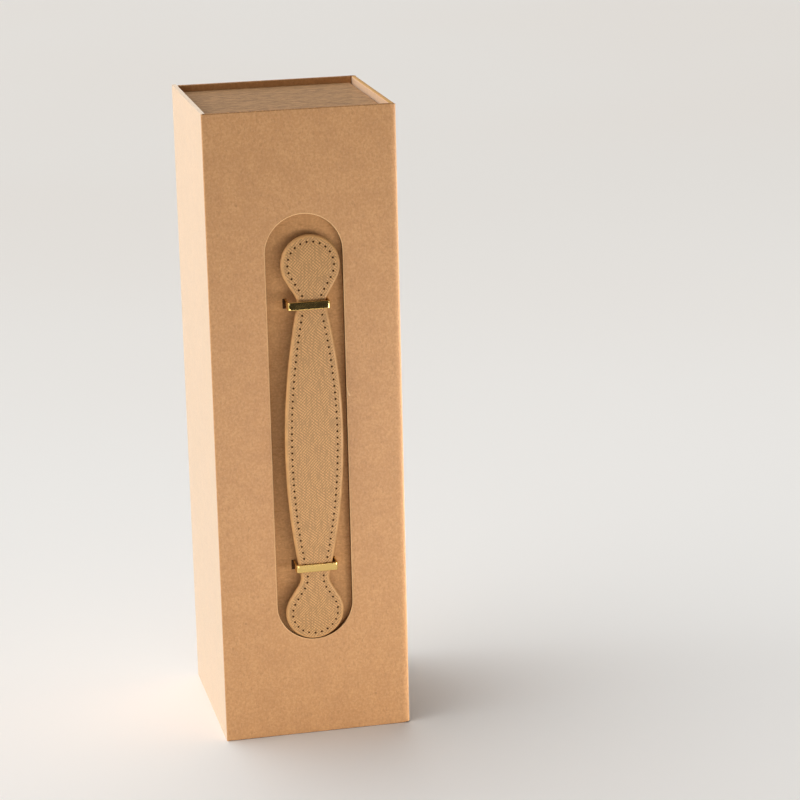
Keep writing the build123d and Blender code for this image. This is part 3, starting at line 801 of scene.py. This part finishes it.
class StrapShape:
    """The strap's outline, its padded section and its bowed, leaning place on the tray."""

    def __init__(self, size):
        self.size = size
        self.half = size.strap_length / 2
        self.neck = self.half - size.neck_inset
        slim = (size.grip_width - size.neck_width) / 2
        self.side_radius = (self.neck**2 + slim**2) / (2 * slim)
        self.paddle = self.half - size.paddle_radius
        run = self.paddle - self.neck
        reach = hypot(run, size.neck_width / 2)
        self.slope = asin(size.paddle_radius / reach) - atan2(size.neck_width / 2, run)
        self.tangent = self.neck + sqrt(reach**2 - size.paddle_radius**2) * cos(self.slope)
        self.bow_radius = self.half**2 / (2 * size.strap_bow) + size.strap_bow / 2
        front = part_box("tray_wrap")[0].y
        y = front - size.strap_stand + size.strap_thick / 2
        self.origin = Vector((size.strap_x, y, size.strap_mid_z))
        self.tree = self.edge_tree()

    def width_at(self, along):
        """Half the strap's width at a distance from its middle."""
        size = self.size
        s = abs(along)
        grip = sqrt(max(0.0, self.side_radius**2 - s**2)) - self.side_radius + size.grip_width / 2
        if s < self.tangent:
            flank = size.neck_width / 2 + (s - self.neck) * tan(self.slope)
        else:
            flank = sqrt(max(0.0, size.paddle_radius**2 - (s - self.paddle) ** 2))
        blend = max(size.neck_blend - abs(grip - flank), 0) / size.neck_blend
        return max(grip, flank) + blend**2 * size.neck_blend / 4

    def stations(self, count):
        """Distances along the strap, closer together round the tips."""
        tip = 16
        inner = [-self.paddle + 2 * self.paddle * i / count for i in range(count + 1)]
        ends = [self.paddle + self.size.paddle_radius * sin(pi / 2 * i / tip) for i in range(1, tip + 1)]
        return [-e for e in reversed(ends)] + inner + ends

    def outline(self):
        """Points round the strap's edge, in order, as across and along."""
        right = [(self.width_at(s), s) for s in self.stations(300)]
        return right + [(-x, s) for x, s in reversed(right[1:-1])]

    def edge_tree(self):
        """Points set closely along the outline, for measuring from the edge."""
        points = self.outline()
        dense = []
        for (x0, s0), (x1, s1) in zip(points, points[1:] + points[:1]):
            steps = max(1, int(hypot(x1 - x0, s1 - s0) / (0.15 * MM)))
            dense += [(x0 + (x1 - x0) * i / steps, s0 + (s1 - s0) * i / steps, 0) for i in range(steps)]
        tree = KDTree(len(dense))
        for i, point in enumerate(dense):
            tree.insert(point, i)
        tree.balance()
        return tree

    def edge_distance(self, x, s):
        return self.tree.find((x, s, 0))[2]

    def lift(self, x, s):
        """Height of the strap's face over its middle: a rolled edge, a sewn channel, then padding."""
        d = self.edge_distance(x, s)
        full = self.size.strap_thick / 2
        roll = 1.1 * MM
        edge = 0.84 * full * (sqrt(1 - (1 - d / roll) ** 2) if d < roll else 1.0)
        channel = (d - self.size.stitch_inset) / (0.6 * MM)
        inner = min(1.0, max(0.0, (d - 1.2 * MM) / (6.0 * MM)))
        pad = 0.16 * full * inner * inner * (3 - 2 * inner)
        return edge - 0.05 * full * exp(-channel * channel) + pad

    def put(self, x, height, s):
        """A point of the strap in the box's frame: height is out from the strap's middle sheet."""
        radius = self.bow_radius
        y = radius - sqrt((radius + height) ** 2 - s * s)
        lean = self.size.strap_lean
        return self.origin + Vector((x * cos(lean) + s * sin(lean), y, -x * sin(lean) + s * cos(lean)))

    def blend(self, piece, half_name):
        """Bakes a piece's placing into its mesh."""
        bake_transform(piece)


def column_place(column, columns, width):
    """Where a column of the strap's mesh lies across it, the columns closer together near the edges."""
    squeeze = min(1.0, width / (7.4 * MM)) * MM
    if column < len(EDGE_COLUMNS):
        return EDGE_COLUMNS[column] * squeeze - width
    if column >= columns - len(EDGE_COLUMNS):
        return width - EDGE_COLUMNS[columns - 1 - column] * squeeze
    inner = width - EDGE_COLUMNS[-1] * squeeze
    return inner * (2 * (column - len(EDGE_COLUMNS) + 1) / (MIDDLE_COLUMNS + 1) - 1)


def strap_side(bm, uv, shape, rows, front):
    """The face of a half of the strap, or its back: a grid laid out between the edges, then bowed."""
    columns = 2 * len(EDGE_COLUMNS) + MIDDLE_COLUMNS
    grid = bmesh.ops.create_grid(bm, x_segments=columns - 1, y_segments=len(rows) - 1, size=1.0)["verts"]
    flat = {}
    for vert in grid:
        s = rows[round((vert.co.y + 1) / 2 * (len(rows) - 1))]
        x = column_place(round((vert.co.x + 1) / 2 * (columns - 1)), columns, shape.width_at(s))
        lift = shape.lift(x, s)
        if not front:
            lift = -min(lift, 0.80 * shape.size.strap_thick / 2)
        flat[vert] = (x, s)
        vert.co = shape.put(x, lift, s)
    inside, rim = (0, 1.3 * MM) if front else (2, 0.9 * MM)
    for face in {f for v in grid for f in v.link_faces}:
        middle = [sum(flat[v][i] for v in face.verts) / len(face.verts) for i in (0, 1)]
        face.material_index = inside if shape.edge_distance(*middle) > rim else 1
        for loop in face.loops:
            loop[uv].uv = flat[loop.vert]


class GIFTBOX_OT_strap(bpy.types.Operator):
    """The padded strap, in two halves that meet in the middle of the grip"""

    bl_idname = "giftbox.strap"
    bl_label = "Strap"

    def execute(self, context):
        tones = finishes()
        shape = StrapShape(sizes())
        materials = [
            embossed_leather("strap_face_leather", tones.leather),
            smooth_leather("strap_edge_leather", tones.leather_edge),
            smooth_leather("strap_back_leather", tones.backing, 0.55),
        ]
        for half, sign, nodes in (
            ("upper", 1, (
                "grip_face", "grip_lining", "grip_filler", "upper_end_face", "upper_end_lining",
            )),
            ("lower", -1, ("lower_end_face", "lower_end_lining")),
        ):
            rows = [s for s in shape.stations(150) if sign * s >= -1e-9]
            bm = bmesh.new()
            uv = bm.loops.layers.uv.new("UVMap")
            for front in (True, False):
                strap_side(bm, uv, shape, rows, front)
            bmesh.ops.remove_doubles(bm, verts=bm.verts[:], dist=1e-6)
            bmesh.ops.dissolve_degenerate(bm, edges=bm.edges[:], dist=1e-7)
            opened = [e for e in bm.edges if e.is_boundary]
            for face in bmesh.ops.edgeloop_fill(bm, edges=opened)["faces"]:
                face.material_index = 2
            piece = make_piece(bm, "strap_" + half, materials, sharp=55)
            shape.blend(piece, half)
            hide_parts(*nodes)
        return {"FINISHED"}


def seam_path(shape, inset):
    """Points round the strap at the seam's inset, each with its distance along the seam."""
    points = shape.outline()
    inner = []
    for i, (x, s) in enumerate(points):
        x0, s0 = points[i - 1]
        x1, s1 = points[(i + 1) % len(points)]
        run = hypot(x1 - x0, s1 - s0) or 1.0
        inner.append((x - inset * (s1 - s0) / run, s + inset * (x1 - x0) / run))
    kept = [p for p in inner if shape.edge_distance(*p) > 0.97 * inset]
    path = [(*kept[0], 0.0)]
    for x, s in kept[1:] + kept[:1]:
        x0, s0, total = path[-1]
        path.append((x, s, total + hypot(x - x0, s - s0)))
    return path


def seam_point(path, distance):
    """Where the seam is at a distance along it."""
    after = min(len(path) - 1, bisect_right(path, distance, key=lambda point: point[2]))
    (x0, s0, d0), (x1, s1, d1) = path[after - 1:after + 1]
    share = (distance - d0) / (d1 - d0)
    return x0 + (x1 - x0) * share, s0 + (s1 - s0) * share


def add_hole(bm, shape, point, radius):
    """A small dark disc laid just proud of the leather: painted shade for a stitch hole."""
    made = bmesh.ops.create_circle(bm, cap_ends=True, cap_tris=True, segments=10, radius=1.0)["verts"]
    for vert in made:
        x = point[0] + vert.co.x * radius
        s = point[1] + vert.co.y * radius
        vert.co = shape.put(x, shape.lift(x, s) + 0.10 * MM, s)
    for face in {f for v in made for f in v.link_faces}:
        face.normal_update()
        if face.normal.y > 0:
            face.normal_flip()


def add_stitch(bm, shape, a, b, width):
    """A length of thread that rises from one hole and goes down into the next."""
    start = Vector(a)
    along = Vector(b) - start
    run = along.length
    along.normalize()
    across = Vector((-along.y, along.x))
    cylinder = bmesh.ops.create_grid(bm, x_segments=5, y_segments=6, size=1.0)["verts"]
    for vert in cylinder:
        t = (vert.co.x + 1) / 2
        angle = pi * (vert.co.y + 1)
        rise = sin(pi * (0.06 + 0.88 * t))
        radius = width / 2 * (0.55 + 0.45 * rise)
        spot = start + along * (0.14 + 0.72 * t) * run
        x, s = spot + across * radius * cos(angle)
        lift = shape.lift(*spot) - 0.36 * MM + 0.20 * MM * rise
        vert.co = shape.put(x, lift + radius * sin(angle), s)
    bmesh.ops.remove_doubles(bm, verts=cylinder, dist=1e-7)


class GIFTBOX_OT_seam(bpy.types.Operator):
    """The seam round the strap: thread from hole to hole, and the pricked holes"""

    bl_idname = "giftbox.seam"
    bl_label = "Seam"

    def execute(self, context):
        size = sizes()
        shape = StrapShape(size)
        path = seam_path(shape, size.stitch_inset)
        total = path[-1][2]
        count = round(total / size.stitch_pitch)
        pricks = [seam_point(path, total * n / count) for n in range(count + 1)]
        thread = sewing_thread("seam_thread", finishes().thread)
        # The holes' dark insides are painted shade.
        hole = pricked_hole("seam_hole", finishes().hole)
        for half, sign, nodes in (
            ("upper", 1, ("grip_stitching", "upper_end_stitching")),
            ("lower", -1, ("lower_end_stitching",)),
        ):
            threads = bmesh.new()
            holes = bmesh.new()
            uvs = [bm.loops.layers.uv.new("UVMap") for bm in (threads, holes)]
            for a, b in zip(pricks, pricks[1:]):
                if sign * a[1] >= 0:
                    add_hole(holes, shape, a, size.hole_width / 2)
                if sign * (a[1] + b[1]) >= 0:
                    add_stitch(threads, shape, a, b, size.thread_width)
            for bm, layer in zip((threads, holes), uvs):
                for face in bm.faces:
                    for loop in face.loops:
                        loop[layer].uv = loop.vert.co.xz
            sewn = make_piece(threads, "seam_thread_" + half, [thread], sharp=80)
            pricked = make_piece(holes, "seam_holes_" + half, [hole], sharp=80, recalculate=False)
            for piece in (sewn, pricked):
                shape.blend(piece, half)
            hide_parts(*nodes)
        return {"FINISHED"}


# Parts seen when the box is open


class GIFTBOX_OT_inner_parts(bpy.types.Operator):
    """Finishes for the boards, linings, saddles, plates and magnets"""

    bl_idname = "giftbox.inner_parts"
    bl_label = "Inner Parts"

    def execute(self, context):
        tones = finishes()
        flap = tones.flap_liner
        dress(
            grey_board("grey_board", tones.board), "base_board", "spine_board", "lid_board",
            "flap_board", "tray_floor", "tray_front_wall", "tray_back_wall", "tray_head_end",
            "tray_foot_end",
        )
        dress(
            kraft_paper("liner_paper", tones.liner, grain=(1, 1, 0.35), sheen=False),
            "spine_liner", "lid_liner", "tray_lining",
        )
        # The flap's liner tone is darker: painted shade.
        dress(kraft_paper(
            "flap_liner_shaded_paper", flap, shade(flap, 1.25), shade(flap, 0.75), (0.35, 1, 1), sheen=False,
        ), "flap_liner")
        dress(kraft_paper("saddle_board", tones.saddle, grain=(0.4, 1, 1)), "body_saddle", "neck_saddle")
        tape = kraft_paper("corner_tape", tones.tape, tones.tape, tones.kraft, grain=(1, 0.5, 1))
        dress(tape, "tray_corner_stays")
        steel = plated_metal("zinc_steel", tones.steel, 0.34, streak=(0.05, 1, 1))
        dress(steel, "keeper_plates", "upper_washer", "lower_washer")
        dress(plated_metal("magnet_nickel", tones.nickel, 0.2), "flap_magnets")
        return {"FINISHED"}


# Stage


def flat_card(name, material, wide, deep, segments=1, place=(0, 0, 0)):
    bm = bmesh.new()
    bmesh.ops.create_grid(bm, x_segments=segments, y_segments=segments, size=1.0)
    bmesh.ops.scale(bm, vec=(wide, deep, 1), verts=bm.verts[:])
    bmesh.ops.translate(bm, vec=place, verts=bm.verts[:])
    return make_piece(bm, name, [material], recalculate=False)


def make_floor():
    """The floor, and a black card that only the clasps' gold sees."""
    tones = finishes()
    paper = Finish("floor_paper", 0.75, specular=0.15)
    cloud = paper.noise(paper.spot(), 1.2, Detail=1)
    # Darker towards the back: painted fall-off of light.
    tone = paper.mix(paper.steps(paper.axis("Y"), 0.1, 1.6), tones.floor, tones.floor_far)
    tone = paper.mix(paper.steps(cloud, 0.3, 0.7, 0.0, 0.03), tone, tones.kraft_light)
    floor = flat_card("floor", paper.wear(tone), 9.0, 9.0, segments=8)
    black = Finish("black_card", 0.9)
    weave = black.mix(black.noise(black.spot(), 300), (0.012, 0.012, 0.012), (0.02, 0.02, 0.02))
    card = flat_card("black_card", black.wear(weave), 1.2, 0.6, place=(0.2, -1.25, 0.004))
    card.visible_camera = False
    card.visible_shadow = False
    card.visible_diffuse = False


def add_light(name, kind, way, power, tone):
    """A light that shines along a way. Returns it with its data."""
    data = bpy.data.lights.new(name, kind)
    data.energy = power
    data.color = tone
    light = add_object(name, data)
    light.rotation_euler = Vector(way).to_track_quat("-Z", "Y").to_euler()
    return light, data


def make_lights():
    """Cards that light the box but not the floor, a broad soft window and a bright side of the room."""
    off_floor = bpy.data.collections.new("off_the_floor")
    off_floor.objects.link(bpy.data.objects["floor"])
    off_floor.collection_objects[0].light_linking.link_state = "EXCLUDE"
    corner = bpy.data.collections.new("front_right_corner")
    corner.objects.link(bpy.data.objects["lid_fold"])
    for name, place, target, card, watts, tone, lit in (
        ("low_card", (0.38, -0.46, 0.02), (0, -0.05, 0.03), (0.3, 0.25), 1.6, NEUTRAL, off_floor),
        ("front_card", (0.10, -0.45, 0.015), (0, -0.05, 0), (0.5, 0.15), 1.15, NEUTRAL, off_floor),
        ("left_card", (-0.45, 0, 0.42), (-0.05, 0, 0.30), (0.3, 0.3), 0.55, COOL, off_floor),
        ("edge_card", (0.175, -0.03, 0.18), (0.05, -0.03, 0.18), (0.04, 0.36), 0.38, WARM, corner),
    ):
        light, data = add_light(name, "AREA", Vector(target) - Vector(place), watts, tone)
        data.shape = "RECTANGLE"
        data.size, data.size_y = card
        light.location = place
        light.visible_camera = False
        light.light_linking.receiver_collection = lit
    _, sun = add_light("side_window", "SUN", (1.0, -0.12, -0.20), 0.42, COOL)
    sun.angle = radians(30)
    world = bpy.data.worlds.new("studio")
    room = NodeTree(world)
    toward = room.node("VectorMath", "Value", {
        0: room.place.outputs["Generated"], 1: Vector((-0.75, 0.57, 0.45)).normalized(),
    }, operation="DOT_PRODUCT")
    room.feed(room.nodes["Background"], {
        "Color": (1.0, 0.985, 0.96), "Strength": room.steps(toward, -0.10, 0.90, 0.0, 2.02),
    })
    bpy.context.scene.world = world
    bpy.context.scene.view_settings.view_transform = "Standard"


def make_camera():
    """Standing where the photograph was taken, found from the box's edges."""
    stand = Vector((-0.25467, -1.43828, 0.58239))
    yaw, pitch, roll = 0.21616, 0.27068, -0.02313
    aim = Matrix.Rotation(-yaw, 4, "Z") @ Matrix.Rotation(pi / 2 - pitch, 4, "X")
    data = bpy.data.cameras.new("photo_camera")
    data.lens = 122.37
    camera = add_object("photo_camera", data)
    camera.matrix_world = Matrix.Translation(stand) @ aim @ Matrix.Rotation(roll, 4, "Z")
    bpy.context.scene.camera = camera


class GIFTBOX_OT_stage(bpy.types.Operator):
    """A pale floor, soft studio light and a camera at the photograph's angle"""

    bl_idname = "giftbox.stage"
    bl_label = "Stage"

    def execute(self, context):
        make_floor()
        make_lights()
        make_camera()
        return {"FINISHED"}


class GIFTBOX_PT_panel(bpy.types.Panel):
    """Builds the gift box's pieces and lists their sizes and colours"""

    bl_idname = "GIFTBOX_PT_panel"
    bl_label = "Gift Box"
    bl_space_type = "VIEW_3D"
    bl_region_type = "UI"
    bl_category = "Gift Box"

    def draw(self, context):
        for operator in PIECE_OPERATORS:
            self.layout.operator(operator.bl_idname)
        for group, title in ((sizes(), "Sizes"), (finishes(), "Colours")):
            box = self.layout.box()
            box.label(text=title)
            for name in group.__annotations__:
                box.prop(group, name)


PIECE_OPERATORS = (
    GIFTBOX_OT_case_cover,
    GIFTBOX_OT_doors,
    GIFTBOX_OT_folds,
    GIFTBOX_OT_tray_cover,
    GIFTBOX_OT_clasps,
    GIFTBOX_OT_strap,
    GIFTBOX_OT_seam,
    GIFTBOX_OT_inner_parts,
    GIFTBOX_OT_stage,
)
CLASSES = (GiftBoxSizes, GiftBoxFinishes, *PIECE_OPERATORS, GIFTBOX_PT_panel)


def register():
    for item in CLASSES:
        bpy.utils.register_class(item)
    bpy.types.Scene.giftbox_sizes = bpy.props.PointerProperty(type=GiftBoxSizes)
    bpy.types.Scene.giftbox_finishes = bpy.props.PointerProperty(type=GiftBoxFinishes)


def unregister():
    del bpy.types.Scene.giftbox_finishes
    del bpy.types.Scene.giftbox_sizes
    for item in reversed(CLASSES):
        bpy.utils.unregister_class(item)


def main():
    register()
    bpy.ops.giftbox.inner_parts()
    bpy.ops.giftbox.case_cover()
    bpy.ops.giftbox.doors()
    bpy.ops.giftbox.folds()
    bpy.ops.giftbox.tray_cover()
    bpy.ops.giftbox.clasps()
    bpy.ops.giftbox.strap()
    bpy.ops.giftbox.seam()
    bpy.ops.giftbox.stage()
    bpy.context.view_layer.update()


if __name__ == "__main__":
    main()
